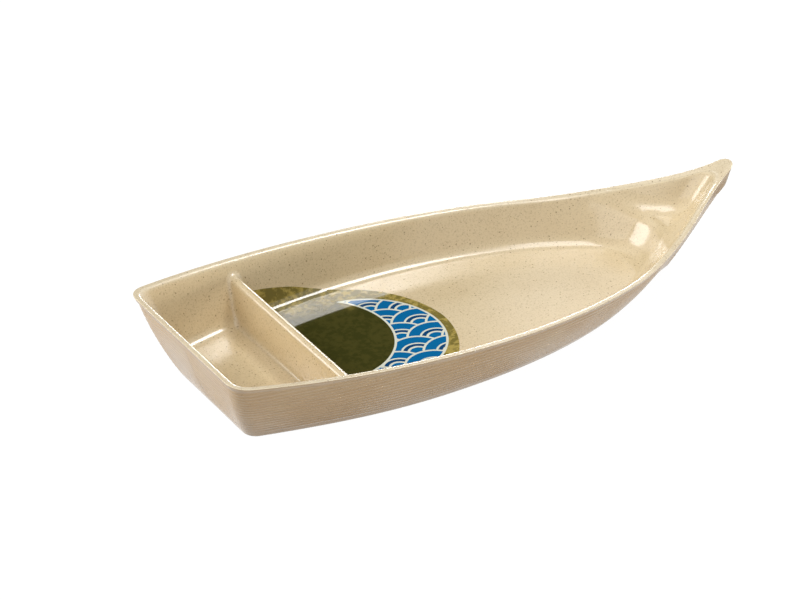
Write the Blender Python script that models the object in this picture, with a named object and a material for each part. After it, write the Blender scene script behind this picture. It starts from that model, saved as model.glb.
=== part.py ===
"""Sushi boat plate: a melamine dish moulded in the shape of a boat, with a print fused into its floor.

Metres, +Z up, +X towards the bow. Stations are measured forward from the transom's rim.
The model's origin lies on the table, under the middle of the plate.
"""
import math
from collections import namedtuple

import bmesh
import bpy
import numpy as np

# Plan of the rim
LENGTH = 0.2500
BEAM = 0.1065
BEAM_STATION = 0.0923
TRANSOM_WIDTH = 0.0844
RIM_SPLAY = math.radians(14.3)
RIM_ENTRY = math.radians(19.0)
RIM_CORNER = 0.0071
RIM_NOSE = 0.0048

# Plan of the foot that the plate stands on
FOOT_STERN_STATION = 0.0131
FOOT_BOW_STATION = 0.2201
FOOT_BEAM = 0.0799
FOOT_BEAM_STATION = 0.0901
FOOT_STERN_WIDTH = 0.0559
FOOT_SPLAY = math.radians(14.7)
FOOT_ENTRY = math.radians(22.0)
FOOT_CORNER = 0.0047
FOOT_NOSE = 0.0030

# How far each plan curve runs along its tangents, as shares of the stretch that it spans,
# and how far its round nose runs on past the sides, as a share of half its width
AFT_FULLNESS = 0.344
FORE_FULLNESS = 0.638
BOW_FULLNESS = 0.169
NOSE_RUN = 0.8

# Heights of the rim above the table, along the sheer
STERN_HEIGHT = 0.0325
WAIST_HEIGHT = 0.0232
WAIST_STATION = 0.1797
BOW_HEIGHT = 0.0395
SHEER_AFT_POWER = 1.70
SHEER_BOW_POWER = 1.80

# Walls, rim and floor
WALL = 0.0023
WALL_BULGE = 0.0011
LIP_PROUD = 0.0005
LIP_HEIGHT = 0.0022
RIM_EDGE = 0.0005
RIM_ROUND = 0.0012
FLOOR = 0.0033
FLOOR_FILLET = 0.0025

# Bow: a level deck with a hollow, sloping front, and a wall that swells out under the rim at the tip
DECK_STATION = 0.1965
DECK_RISE = 0.0130
DECK_SLOPE = math.radians(58.0)
DECK_EDGE = 0.0080
DECK_HOLLOW = 0.0090
DECK_WIDTH = 0.0480
FLOOR_NOSE = 0.0050
MOUTH_NOSE = 0.0065
TIP_STATION = 0.2275
TIP_END = 0.2440
TIP_SWELL = 0.0020
TIP_DROP = 0.0046
SWELL_POWER = 4

# Foot
FOOT_HEIGHT = 0.0045
FOOT_WIDTH = 0.0050
FOOT_DRAFT = 0.0012
FOOT_RADIUS = 0.0021

# Divider between the stern compartment and the main one
DIVIDER_STATION = 0.0471
DIVIDER_HEIGHT = 0.0162
DIVIDER_TOP = 0.0042
DIVIDER_DRAFT = math.radians(5.0)
DIVIDER_FILLET = 0.0022

# Printed foil, an oval that is cut off at the divider, let in so that it lies flush
PRINT_STATION = 0.0642
PRINT_LENGTH = 0.1020
PRINT_WIDTH = 0.0859
PRINT_LENGTH_POWER = 2.57
PRINT_WIDTH_POWER = 1.80
FOIL = 0.0004
FOIL_GAP = 0.0003

# Facets
TRANSOM_STEPS = 4
CORNER_STEPS = 5
SIDE_STEPS = 34
NOSE_STEPS = 4
WALL_STEPS = 6
ROUND_STEPS = 6
DECK_STEPS = 8
FRONT_STEPS = 24
EDGE_STEPS = 3
PRINT_STEPS = 48
SHARP_ANGLE = math.radians(40.0)

CURVE_SAMPLES = 400
FLOOR_TOP = FOOT_HEIGHT + FLOOR
LIP = WALL + LIP_PROUD
CUT_MARGIN = 0.0010

CREAM_MELAMINE = (0.672, 0.533, 0.328, 1.0)
MELAMINE_ROUGHNESS = 0.3
MOTTLED_GREEN = (0.078, 0.072, 0.023, 1.0)
PRINT_ROUGHNESS = 0.2

Plan = namedtuple("Plan", "stern bow stern_half beam_half beam_station splay entry corner nose")
RIM = Plan(0.0, LENGTH, TRANSOM_WIDTH / 2, BEAM / 2, BEAM_STATION,
           RIM_SPLAY, RIM_ENTRY, RIM_CORNER, RIM_NOSE)
FOOT = Plan(FOOT_STERN_STATION, FOOT_BOW_STATION, FOOT_STERN_WIDTH / 2, FOOT_BEAM / 2, FOOT_BEAM_STATION,
            FOOT_SPLAY, FOOT_ENTRY, FOOT_CORNER, FOOT_NOSE)


def bezier(points, steps):
    """Points along a Bezier curve of any degree."""
    t = np.linspace(0.0, 1.0, steps + 1)[:, None]
    degree = len(points) - 1
    terms = [math.comb(degree, k) * t ** k * (1.0 - t) ** (degree - k) * np.asarray(point)
             for k, point in enumerate(points)]
    return sum(terms)


def half_breadth(plan):
    """One side of a plan, from the transom's corner over the widest station to the nose."""
    fore_run = plan.bow - plan.beam_station
    aft_handle = AFT_FULLNESS * (plan.beam_station - plan.stern)
    bow_handle = BOW_FULLNESS * fore_run
    widest = (plan.beam_station, plan.beam_half)
    nose = (plan.bow - NOSE_RUN * plan.nose, plan.nose)
    aft = bezier([(plan.stern, plan.stern_half),
                  (plan.stern + aft_handle, plan.stern_half + aft_handle * math.tan(plan.splay)),
                  (plan.beam_station - aft_handle, plan.beam_half),
                  widest], CURVE_SAMPLES)
    fore = bezier([widest,
                   (plan.beam_station + FORE_FULLNESS * fore_run, plan.beam_half),
                   (nose[0] - bow_handle, nose[1] + bow_handle * math.tan(plan.entry)),
                   nose], CURVE_SAMPLES)
    return np.vstack([aft, fore[1:]])


def outline(plan, inset=0.0, blunt=0.0):
    """A plan's closed outline, drawn in by inset, with round stern corners and a nose at least blunt wide."""
    x, y = half_breadth(plan).T
    slope = np.gradient(y, x)
    y = y - inset * np.sqrt(1.0 + slope ** 2)
    nose = max(plan.nose - inset, plan.nose / 2, blunt)
    end = np.interp(-nose, -y[CURVE_SAMPLES:], x[CURVE_SAMPLES:])
    stern = plan.stern + inset
    corner = max(plan.corner - inset / 2, plan.corner / 2)

    def side(station):
        return np.interp(station, x, y)

    transom = bezier([(stern, 0.0), (stern, side(stern) - corner)], TRANSOM_STEPS)
    turn = bezier([transom[-1], (stern, side(stern)), (stern + corner, side(stern + corner))], CORNER_STEPS)
    stations = np.linspace(stern + corner, end, SIDE_STEPS + 1)
    run = np.column_stack([stations, side(stations)])
    tip = end + NOSE_RUN * nose
    turn_in = nose + NOSE_RUN * nose * np.interp(end, x, slope)
    point = bezier([(end, nose), (tip, turn_in), (tip, 0.0)], NOSE_STEPS)
    half = np.vstack([transom, turn[1:], run[1:], point[1:]])
    return np.vstack([half, half[-2:0:-1] * (1.0, -1.0)])


def sheer(station):
    """Height of the rim at a station."""
    aft = np.clip(1.0 - station / WAIST_STATION, 0.0, 1.0) ** SHEER_AFT_POWER
    bow = np.clip((station - WAIST_STATION) / (LENGTH - WAIST_STATION), 0.0, 1.0) ** SHEER_BOW_POWER
    return WAIST_HEIGHT + (STERN_HEIGHT - WAIST_HEIGHT) * aft + (BOW_HEIGHT - WAIST_HEIGHT) * bow


RIM_LINE = outline(RIM)
RIM_HEIGHT = sheer(RIM_LINE[:, 0])
MOUTH_HEIGHT = sheer(outline(RIM, LIP, MOUTH_NOSE)[:, 0])


def wall_ring(height, inset=0.0):
    """The wall's outline at a height, which may change from point to point, drawn in by inset."""
    share = (height / RIM_HEIGHT)[:, None]
    low, high = outline(FOOT, inset), outline(RIM, inset)
    return np.column_stack([low + (high - low) * share, height])


def inside_ring(height, inset=LIP):
    """The outline of the eating side at a height, which is blunter at the bow than the outside."""
    share = (height / MOUTH_HEIGHT)[:, None]
    low, high = outline(FOOT, inset, FLOOR_NOSE), outline(RIM, inset, MOUTH_NOSE)
    return np.column_stack([low + (high - low) * share, height])


def level(height):
    """The same height at every point of a ring."""
    return np.full(len(RIM_LINE), height)


def rounded(start, corner, end, steps):
    """Rings that round off the corner between two rings."""
    return [start * (1.0 - t) ** 2 + corner * 2.0 * t * (1.0 - t) + end * t ** 2
            for t in np.linspace(0.0, 1.0, steps + 1)]


def foot_rings():
    """Rings from the recess under the plate, round the foot, to the start of the wall."""
    ring_inside = FOOT_RADIUS + FOOT_WIDTH
    recess = np.column_stack([outline(FOOT, ring_inside + FOOT_DRAFT), level(FOOT_HEIGHT)])
    inner_edge = np.column_stack([outline(FOOT, ring_inside), level(0.0)])
    outer_edge = rounded(wall_ring(level(0.0), FOOT_RADIUS), wall_ring(level(0.0)),
                         wall_ring(level(FOOT_RADIUS)), EDGE_STEPS)
    return [recess, inner_edge] + outer_edge


def outer_rings():
    """Rings up the outside of the wall to the lip under the rim, with the swell of the tip."""
    tip = np.clip((RIM_LINE[:, 0] - TIP_STATION) / (TIP_END - TIP_STATION), 0.0, 1.0)
    lip_foot = RIM_HEIGHT - LIP_HEIGHT - TIP_DROP * tip
    swell = (wall_ring(RIM_HEIGHT, -TIP_SWELL) - wall_ring(RIM_HEIGHT)) * tip[:, None]
    rings = []
    for share in np.linspace(0.0, 1.0, WALL_STEPS + 1)[1:]:
        height = FOOT_RADIUS + (lip_foot - FOOT_RADIUS) * share
        arch = 4.0 * share * (1.0 - share)
        rings.append(wall_ring(height, LIP_PROUD * share - WALL_BULGE * arch) + swell * share ** SWELL_POWER)
    rings.append(wall_ring(lip_foot + LIP_PROUD) + swell)
    return rings


def rim_rings():
    """Rings over the rim: a crisp outer edge, a flat top and a soft inner edge."""
    outer_edge = rounded(wall_ring(RIM_HEIGHT - RIM_EDGE), wall_ring(RIM_HEIGHT),
                         wall_ring(RIM_HEIGHT, RIM_EDGE), EDGE_STEPS)
    inner_edge = rounded(inside_ring(MOUTH_HEIGHT, LIP - RIM_ROUND), inside_ring(MOUTH_HEIGHT),
                         inside_ring(MOUTH_HEIGHT - RIM_ROUND), EDGE_STEPS)
    return outer_edge + inner_edge


def eating_rings():
    """Rings down the inside of the wall and round the fillet to the flat of the floor."""
    wall_top, wall_foot = MOUTH_HEIGHT - RIM_ROUND, level(FLOOR_TOP + FLOOR_FILLET)
    wall_shares = np.linspace(0.0, 1.0, WALL_STEPS + 1)[1:-1]
    wall = [inside_ring(wall_top + (wall_foot - wall_top) * share) for share in wall_shares]
    flat = inside_ring(level(FLOOR_TOP), LIP + FLOOR_FILLET)
    return wall + rounded(inside_ring(wall_foot), inside_ring(level(FLOOR_TOP)), flat, ROUND_STEPS)


RIM_ENDS = np.vstack(outer_rings() + rim_rings())[:, 0]
MIDDLE = (RIM_ENDS.min() + RIM_ENDS.max()) / 2


def to_origin(points):
    """Moves points from stations to the model's frame."""
    return points - np.array([MIDDLE, 0.0, 0.0])


def loft(name, rings, caps):
    """An object skinned over rings of equal count, with a face on the first and last ring as caps says."""
    mesh = bmesh.new()
    loops = [[mesh.verts.new(point) for point in to_origin(ring)] for ring in rings]
    for lower, upper in zip(loops, loops[1:]):
        for k in range(len(lower)):
            mesh.faces.new([lower[k - 1], lower[k], upper[k], upper[k - 1]])
    if "first" in caps:
        mesh.faces.new(loops[0])
    if "last" in caps:
        mesh.faces.new(loops[-1])
    return finished(name, mesh)


def finished(name, mesh):
    """Turns a bmesh into an object of the scene, with its faces pointing outwards."""
    bmesh.ops.recalc_face_normals(mesh, faces=mesh.faces)
    data = bpy.data.meshes.new(name)
    mesh.to_mesh(data)
    mesh.free()
    obj = bpy.data.objects.new(name, data)
    bpy.context.scene.collection.objects.link(obj)
    return obj


def prism(name, profile, axis, low, high):
    """An object that carries a closed profile along an axis, from low to high."""
    mesh = bmesh.new()
    ends = [[mesh.verts.new(np.insert(np.asarray(point), axis, along)) for point in profile]
            for along in (low, high)]
    mesh.faces.new(ends[0])
    mesh.faces.new(ends[1])
    for k in range(len(profile)):
        mesh.faces.new([ends[0][k - 1], ends[0][k], ends[1][k], ends[1][k - 1]])
    return finished(name, mesh)


def cutter(obj):
    """Marks an object as a tool that shapes another one."""
    obj.hide_render = True
    obj.display_type = "WIRE"
    return obj


def combine(obj, tool, operation):
    """Adds, cuts or keeps the common part of two objects."""
    modifier = obj.modifiers.new(operation.lower(), "BOOLEAN")
    modifier.object = cutter(tool)
    modifier.operation = operation
    modifier.solver = "EXACT"


def sheet(name, depth, proud=0.0):
    """A layer of the floor and walls, reaching depth into the body and proud of its surface."""
    obj = loft(name, eating_rings(), "last")
    if obj.data.polygons[-1].normal.z < 0.0:
        obj.data.flip_normals()
    solid = obj.modifiers.new("layer", "SOLIDIFY")
    solid.thickness = depth + proud
    solid.offset = 2.0 * proud / (depth + proud) - 1.0
    solid.use_even_offset = True
    return obj


def print_outline(grow=0.0):
    """The print's outline: an oval, cut off by a chord along the foot of the divider."""
    chord = DIVIDER_STATION + divider_half(0.0) + DIVIDER_FILLET - grow - PRINT_STATION
    half_length, half_width = PRINT_LENGTH / 2 + grow, PRINT_WIDTH / 2 + grow
    along = chord + (half_length - chord) * np.sin(np.linspace(0.0, math.pi / 2, PRINT_STEPS // 2 + 1))
    rest = 1.0 - np.abs(along / half_length) ** PRINT_LENGTH_POWER
    across = half_width * rest ** (1.0 / PRINT_WIDTH_POWER)
    half = np.column_stack([along + PRINT_STATION - MIDDLE, across])
    return np.vstack([half, half[-2::-1] * (1.0, -1.0)])


def print_patch(name, grow, depth, proud=0.0):
    """The part of a floor layer that lies inside the print's outline."""
    layer = sheet(name, depth, proud)
    tool = prism(name + "_outline", print_outline(grow), 2, -STERN_HEIGHT, BOW_HEIGHT)
    combine(layer, tool, "INTERSECT")
    return layer


def divider_half(height):
    """Half the divider's thickness at a height above the floor, without its fillets."""
    return DIVIDER_TOP / 2 + (DIVIDER_HEIGHT - height) * math.tan(DIVIDER_DRAFT)


def divider_profile():
    """The divider's section along the plate: filleted foot, drafted sides and a round top."""
    round_top = DIVIDER_TOP / 2
    foot = bezier([(divider_half(0.0) + DIVIDER_FILLET, 0.0),
                   (divider_half(0.0), 0.0),
                   (divider_half(DIVIDER_FILLET), DIVIDER_FILLET)], ROUND_STEPS)
    angles = np.linspace(0.0, math.pi / 2, ROUND_STEPS)
    top = np.column_stack([round_top * np.cos(angles),
                           DIVIDER_HEIGHT - round_top + round_top * np.sin(angles)])
    half = np.vstack([foot, top])
    sunk = np.array([(half[0, 0], -FLOOR)])
    right = np.vstack([sunk, half])
    left = right[::-1][1:] * (-1.0, 1.0)
    place = np.array([DIVIDER_STATION - MIDDLE, FLOOR_TOP])
    return np.vstack([right, left]) + place


def divider():
    """The divider, reaching halfway into both side walls."""
    return within_walls(prism("divider", divider_profile(), 1, -BEAM / 2, BEAM / 2))


def deck_profile():
    """The deck's front, as steps forward and up from its foot to where the deck is level."""
    slope = math.tan(DECK_SLOPE)
    forward = np.linspace(0.0, (DECK_RISE + DECK_EDGE) / slope, DECK_STEPS + 1)
    climb = forward * slope
    edge = np.clip(1.0 - np.abs(climb - DECK_RISE) / DECK_EDGE, 0.0, 1.0)
    height = np.minimum(climb, DECK_RISE) - edge ** 2 * DECK_EDGE / 4
    return np.column_stack([forward, height])


def deck():
    """The bow's deck, reaching halfway into the walls: level, with a front that is hollow in plan."""
    across = np.linspace(-BEAM / 2, BEAM / 2, FRONT_STEPS + 1)
    hollow = DECK_HOLLOW * np.clip(1.0 - (2.0 * across / DECK_WIDTH) ** 2, 0.0, 1.0)
    ends = np.array([(LENGTH, BEAM / 2), (LENGTH, -BEAM / 2)])
    rings = []
    for forward, height in [(0.0, -FLOOR), *deck_profile()]:
        plan = np.vstack([np.column_stack([DECK_STATION + hollow + forward, across]), ends])
        rings.append(np.column_stack([plan, np.full(len(plan), FLOOR_TOP + height)]))
    return within_walls(loft("deck", rings, ("first", "last")))


def within_walls(form):
    """Trims a form that stands on the floor, so that it ends in the middle of the walls and of the floor."""
    heights = (level(FLOOR_TOP - FLOOR / 2), RIM_HEIGHT - RIM_ROUND)
    core = loft(form.name + "_reach", [wall_ring(height, LIP / 2) for height in heights], ("first", "last"))
    combine(form, core, "INTERSECT")
    return form


def material(obj, colour, roughness):
    """Gives an object its own Principled material."""
    finish = bpy.data.materials.new(obj.name)
    finish.use_nodes = True
    shader = finish.node_tree.nodes["Principled BSDF"]
    shader.inputs["Base Color"].default_value = colour
    shader.inputs["Roughness"].default_value = roughness
    obj.data.materials.append(finish)


def smooth(obj):
    """Shades an object smooth, apart from its edges."""
    obj.data.shade_smooth()
    obj.data.set_sharp_from_angle(angle=SHARP_ANGLE)


def boat_body():
    """The moulded body: foot, walls, rim, floor, divider and deck in one piece."""
    body = loft("boat_body", foot_rings() + outer_rings() + rim_rings() + eating_rings(), ("first", "last"))
    smooth(body)
    material(body, CREAM_MELAMINE, MELAMINE_ROUGHNESS)
    combine(body, divider(), "UNION")
    combine(body, deck(), "UNION")
    combine(body, cutter(print_patch("print_recess", FOIL_GAP, FOIL + FOIL_GAP, CUT_MARGIN)), "DIFFERENCE")
    return body


def print_foil():
    """The printed foil, flush with the floor and running up the fillets at its sides."""
    foil = print_patch("print_foil", 0.0, FOIL)
    material(foil, MOTTLED_GREEN, PRINT_ROUGHNESS)
    return foil


def main():
    """Builds the plate in an empty scene."""
    for obj in list(bpy.data.objects):
        bpy.data.objects.remove(obj, do_unlink=True)
    boat_body()
    print_foil()


main()
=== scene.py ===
"""Looks of the sushi boat plate: a speckled melamine hull, glossy inside and grained outside,
with a printed foil fused into its floor.

Metres, +Z up, +X towards the bow. Stations are measured forward from the transom's rim.
"""
import math
from collections import namedtuple

import bmesh
import bpy
import numpy as np
from bpy.props import FloatProperty, FloatVectorProperty, IntProperty, PointerProperty
from bpy.types import Operator, Panel, PropertyGroup
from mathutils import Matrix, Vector
from mathutils.bvhtree import BVHTree


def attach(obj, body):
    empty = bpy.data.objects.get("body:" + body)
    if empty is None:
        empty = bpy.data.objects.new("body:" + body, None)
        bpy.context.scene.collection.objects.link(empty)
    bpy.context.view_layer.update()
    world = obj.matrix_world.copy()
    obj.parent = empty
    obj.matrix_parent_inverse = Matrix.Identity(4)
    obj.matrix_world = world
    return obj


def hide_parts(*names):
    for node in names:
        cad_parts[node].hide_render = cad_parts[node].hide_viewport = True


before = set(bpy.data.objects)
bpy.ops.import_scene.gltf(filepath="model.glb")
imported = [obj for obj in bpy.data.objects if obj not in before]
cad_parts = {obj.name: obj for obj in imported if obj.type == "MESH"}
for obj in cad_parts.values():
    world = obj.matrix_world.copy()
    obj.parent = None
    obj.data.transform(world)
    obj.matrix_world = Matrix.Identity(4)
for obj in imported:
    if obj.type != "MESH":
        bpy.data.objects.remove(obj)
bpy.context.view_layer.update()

bl_info = {
    "name": "Sushi Boat Plate",
    "version": (1, 0, 0),
    "blender": (4, 5, 0),
    "location": "View3D > Sidebar > Boat Plate",
    "description": "Builds the looks of a moulded melamine boat plate around its packed CAD part",
    "category": "Object",
}

BODY = "root"

Plan = namedtuple("Plan", "stern bow stern_half beam_half beam_station splay entry corner nose")
Noise = namedtuple("Noise", "scale detail roughness", defaults=(0.5,))
Specks = namedtuple("Specks", "cell radius share strength")
Lamp = namedtuple("Lamp", "name direction distance width height level")
Card = namedtuple("Card", "name place target width height")

# Points along half of every outline, from the middle of the transom to the tip of the bow
TRANSOM_STEPS = 26
CORNER_STEPS = 14
STERN_RUN_STEPS = 14
DIVIDER_FOOT_STEPS = 12
DIVIDER_SIDE_STEPS = 10
DIVIDER_TOP_STEPS = 8
FORE_RUN_STEPS = 104
FORE_RUN_CROWDING = 1.25
NOSE_STEPS = 16

# Rows of points across the section
RECESS_ROWS = 4
OUTER_ROWS = 84
EDGE_ROWS = 7
INNER_ROWS = 24
FILLET_ROWS = 12
FLOOR_ROWS = 14

# Rings and spokes of the printed foil, and where its rings meet, as a share of its length from the divider
PRINT_RINGS = 56
PRINT_SPOKES = 260
PRINT_HUB = 0.45

# Fineness of curves and searches, and sizes too small to count
CURVE_SAMPLES = 900
SOLVE_STEPS = 40
WELD = 1e-7
STATION_SLACK = 1e-9
NO_AREA = 1e-12

# Marks on the hull: how far the rim's painted light, a lighter colour standing in for the full light on its
# open top, runs down the inside, and how fast the ribs set in and fade
RIM_LIGHT_FADE = 0.0026
RIBS_SET_IN = 12.0
RIBS_FADE = 14.0

# Ribs: noise as (scale along, scale up, detail), how far they wander in pitches, and their least strength
RIB_WANDER = (16.0, 60.0, 2.0)
RIB_STRENGTH = (28.0, 24.0, 1.0)
RIB_STRENGTH_RANGE = (0.30, 0.70)
WANDER_PITCHES = 2.2
LEAST_STRENGTH = 0.35
SEED_STEP = 7.0

# Melamine: warm clouds, sand and specks in the body, and grain lines on the outside
CLOUD = Noise(60.0, 4.0, 0.6)
CLOUD_RANGE = (0.42, 0.78)
CLOUD_STRENGTH = 0.35
CLOUD_TINT = (0.90, 0.86, 0.80)
SAND = Noise(1500.0, 2.0, 0.6)
SAND_RANGE = (0.45, 0.75)
SAND_STRENGTH = 0.22
SMALL_SPECKS = Specks(0.0011, 0.00024, 0.8, 0.45)
LARGE_SPECKS = Specks(0.0018, 0.00034, 0.8, 0.60)
LEAST_SPECK = 0.5
SPECK_SPREAD = 0.7
SPECK_CORE = 0.65
OUTSIDE_SPECK_LOSS = 0.5
STREAK = Noise(1.0, 3.0)
STREAKS_ALONG = 60.0
STREAKS_UP = 900.0
STREAK_RANGE = (0.45, 0.70)
STREAK_STRENGTH = 0.16
STREAK_ROUGHNESS = 0.12
STREAK_RELIEF = 0.00012
STREAK_BUMP = 0.5
BODY_SPECULAR = 0.2
OUTSIDE_COAT_LOSS = 0.6
GLAZE_IOR = 1.52

# Print: ragged olive margin, mottled ground, and the waves' bands, hollow and outline as shares of a radius
FINE_MOTTLE = Noise(420.0, 4.0, 0.65)
BROAD_MOTTLE = Noise(70.0, 3.0)
MARGIN_RANGE = (0.42, 0.85)
MARGIN_RAGGEDNESS = 0.5
MOTTLE_RANGE = (0.42, 0.62)
MOTTLE_DRIFT = 0.6
LEAST_OLIVE = 0.40
GROUND_OLIVE = 0.05
WAVE_BANDS = ((0.0, "blue"), (0.28, "pale"), (0.36, "deep"), (0.50, "pale"), (0.57, "blue"), (0.92, "pale"))
HOLLOW_SHIFT = (-0.60, 0.30)
CRESCENT_LINE = 0.03
PRINT_ROUGHNESS = 0.05

# Stage: soft lamps, a floor a hair under the foot whose glow is white once its shadow's share is mixed in,
# and black cards that only the glaze reflects
LAMPS = (
    Lamp("key", (-0.70, 0.55, 0.45), 1.2, 0.56, 0.56, 0.39),
    Lamp("window", (-0.78, 0.61, 0.10), 1.2, 0.08, 0.16, 0.12),
    Lamp("glint", (0.552, 0.780, 0.293), 0.81, 0.20, 0.10, 0.12),
    Lamp("top", (0.45, 0.04, 0.895), 1.2, 0.36, 0.26, 0.37),
    Lamp("front", (-0.84, -0.28, 0.48), 1.2, 1.00, 1.00, 0.29),
    Lamp("low", (0.55, -0.83, 0.025), 1.2, 0.80, 0.05, 0.34),
    Lamp("overhead", (0.12, -0.03, 0.985), 1.2, 0.70, 0.30, 0.24),
)
FLOOR = Card("floor", (0.0, 0.0, -0.0001), (0.0, 0.0, 1.0), 12.0, 12.0)
FLAG = Card("flag", (-0.034, 1.032, 0.498), (-0.48, 0.288, 0.0), 1.2, 0.7)
FRONT_FLAG = Card("front_flag", (0.739, -0.821, 0.469), (0.0, 0.0, 0.0), 0.8, 0.75)
FLOOR_GREY = (0.45, 0.45, 0.45)
FLOOR_GLOW = 1.15
WHITE = (1.0, 1.0, 1.0)
BLACK = (0.0, 0.0, 0.0)
VIEW_END = 100.0


def length(name, default, description):
    """A length that the user may change."""
    return FloatProperty(name=name, description=description, default=default, unit="LENGTH", precision=4)


def angle(name, degrees, description):
    """An angle that the user may change."""
    return FloatProperty(name=name, description=description, default=math.radians(degrees), unit="ROTATION")


def number(name, default, description):
    """A plain number that the user may change."""
    return FloatProperty(name=name, description=description, default=default)


def fraction(name, default, description):
    """A fraction from 0 to 1 that the user may change."""
    return FloatProperty(name=name, description=description, default=default, subtype="FACTOR")


def colour(name, red, green, blue, description):
    """A colour that the user may change, given as the eye sees it, from 0 to 255."""
    linear = [srgb_to_linear(level / 255.0) for level in (red, green, blue)]
    return FloatVectorProperty(name=name, description=description, default=linear, subtype="COLOR",
                               min=0.0, max=1.0)


def srgb_to_linear(level):
    """The linear value of a displayed level from 0 to 1."""
    return level / 12.92 if level <= 0.04045 else ((level + 0.055) / 1.055) ** 2.4


class RimSizes(PropertyGroup):
    """Plan, sheer and edges of the rim."""
    length: length("Length", 0.2500, "Rim from the transom to the tip of the bow")
    beam: length("Beam", 0.1065, "Widest part of the rim")
    beam_station: length("Beam station", 0.0923, "Where the rim is widest")
    transom_width: length("Transom width", 0.0844, "Width of the rim at the transom")
    splay: angle("Splay", 14.3, "Angle at which the sides leave the transom")
    entry: angle("Entry", 19.0, "Angle at which the sides run into the bow")
    corner: length("Corner", 0.0071, "Rounding of the stern corners")
    nose: length("Nose", 0.0048, "Half the width of the bow's round tip")
    stern_height: length("Stern height", 0.0325, "Height of the rim at the transom")
    waist_height: length("Waist height", 0.0232, "Lowest height of the rim")
    waist_station: length("Waist station", 0.1797, "Where the rim is lowest")
    bow_height: length("Bow height", 0.0395, "Height of the rim at the bow")
    aft_power: number("Aft sheer", 1.70, "How sharply the rim climbs aft of the waist")
    bow_power: number("Bow sheer", 1.80, "How sharply the rim climbs forward of the waist")
    aft_fullness: number("Aft fullness", 0.344, "How far the sides run along their tangents aft")
    fore_fullness: number("Fore fullness", 0.638, "How far the sides run along their tangents amidships")
    bow_fullness: number("Bow fullness", 0.169, "How far the sides run along their tangents at the bow")
    nose_run: number("Nose run", 0.8, "How far the round tip runs past the sides, in half widths")
    edge: length("Edge", 0.0005, "Rounding of the rim's outer edge")
    round: length("Round", 0.0012, "Rounding of the rim's inner edge")
    tip_station: length("Tip station", 0.2275, "Where the wall under the rim starts to swell out")
    tip_end: length("Tip end", 0.2440, "Where the swell is full")
    tip_swell: length("Tip swell", 0.0020, "How far the wall stands out under the rim at the tip")
    tip_drop: length("Tip drop", 0.0046, "How far the lip drops under the rim at the tip")
    swell_power: number("Swell power", 4.0, "How late the wall swells on its way up")


class FootSizes(PropertyGroup):
    """Plan and section of the foot."""
    stern_station: length("Stern station", 0.0131, "Where the foot starts")
    bow_station: length("Bow station", 0.2201, "Where the foot ends")
    beam: length("Beam", 0.0799, "Widest part of the foot")
    beam_station: length("Beam station", 0.0901, "Where the foot is widest")
    stern_width: length("Stern width", 0.0559, "Width of the foot at the stern")
    splay: angle("Splay", 14.7, "Angle at which the foot's sides leave the stern")
    entry: angle("Entry", 22.0, "Angle at which the foot's sides run into the bow")
    corner: length("Corner", 0.0047, "Rounding of the foot's stern corners")
    nose: length("Nose", 0.0030, "Half the width of the foot's bow end")
    height: length("Height", 0.0045, "Depth of the recess inside the foot")
    width: length("Width", 0.0050, "Width of the ring that stands on the table")
    draft: length("Draft", 0.0012, "How far the recess draws in over its depth")
    radius: length("Radius", 0.0021, "Rounding of the foot's outer edge")


class WallSizes(PropertyGroup):
    """Walls, lip and floor."""
    thickness: length("Thickness", 0.0023, "Thickness of the wall under the lip")
    bulge: length("Bulge", 0.0011, "How far the wall swells between foot and rim")
    lip_proud: length("Lip", 0.0005, "How far the lip under the rim stands out from the wall")
    lip_height: length("Lip height", 0.0022, "Height of the lip")
    floor: length("Floor", 0.0033, "Thickness of the floor")
    fillet: length("Fillet", 0.0040, "Rounding between the floor and the walls")
    floor_nose: length("Floor nose", 0.0050, "Half the width of the floor's round bow end")
    mouth_nose: length("Mouth nose", 0.0065, "Half the width of the round bow end inside the rim")


class DeckSizes(PropertyGroup):
    """Level deck at the bow, with a hollow, sloping front."""
    station: length("Station", 0.1965, "Where the foot of its front stands at the walls")
    rise: length("Rise", 0.0130, "Height above the floor")
    slope: angle("Slope", 58.0, "Angle of its front above the floor")
    edge: length("Edge", 0.0040, "Rounding between the front and the top")
    hollow: length("Hollow", 0.0090, "How far the front curves forward in the middle")
    width: length("Width", 0.0480, "Width over which the front curves")
    fillet: length("Fillet", 0.0060, "Rounding into the floor and the walls")


class DividerSizes(PropertyGroup):
    """Wall between the stern compartment and the main one."""
    station: length("Station", 0.0471, "Where the divider stands")
    height: length("Height", 0.0162, "Height above the floor")
    top: length("Top", 0.0042, "Thickness of the round top")
    draft: angle("Draft", 5.0, "Lean of the divider's sides")
    fillet: length("Fillet", 0.0022, "Rounding into the floor and the walls")


class GrainSizes(PropertyGroup):
    """Relief on the outside of the hull."""
    pitch: length("Pitch", 0.0019, "Distance between ribs")
    depth: length("Depth", 0.00015, "Height of the ribs")
    seed: IntProperty(name="Seed", description="Which run of grain is used", default=4)


class MelamineLook(PropertyGroup):
    """Colours and gloss of the moulded body, with painted light on the rim's top and painted shade on the
    outside.
    """
    cream: colour("Cream", 223, 203, 164, "Body of the melamine")
    # Edge is painted light: a lighter cream on the rim's top that stands in for the full light its open top
    # catches
    edge: colour("Edge", 232, 216, 184, "Flat top of the rim")
    # Outside is painted shade: a darker, browner copy of the same cream melamine, standing in for the shade
    # on the hull's outside
    outside: colour("Outside", 203, 171, 128, "Grained outside")
    speck: colour("Speck", 116, 80, 44, "Specks in the melamine")
    gloss: fraction("Gloss", 0.15, "Roughness of the glazed inside")
    satin: fraction("Satin", 0.24, "Roughness of the grained outside")


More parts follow.
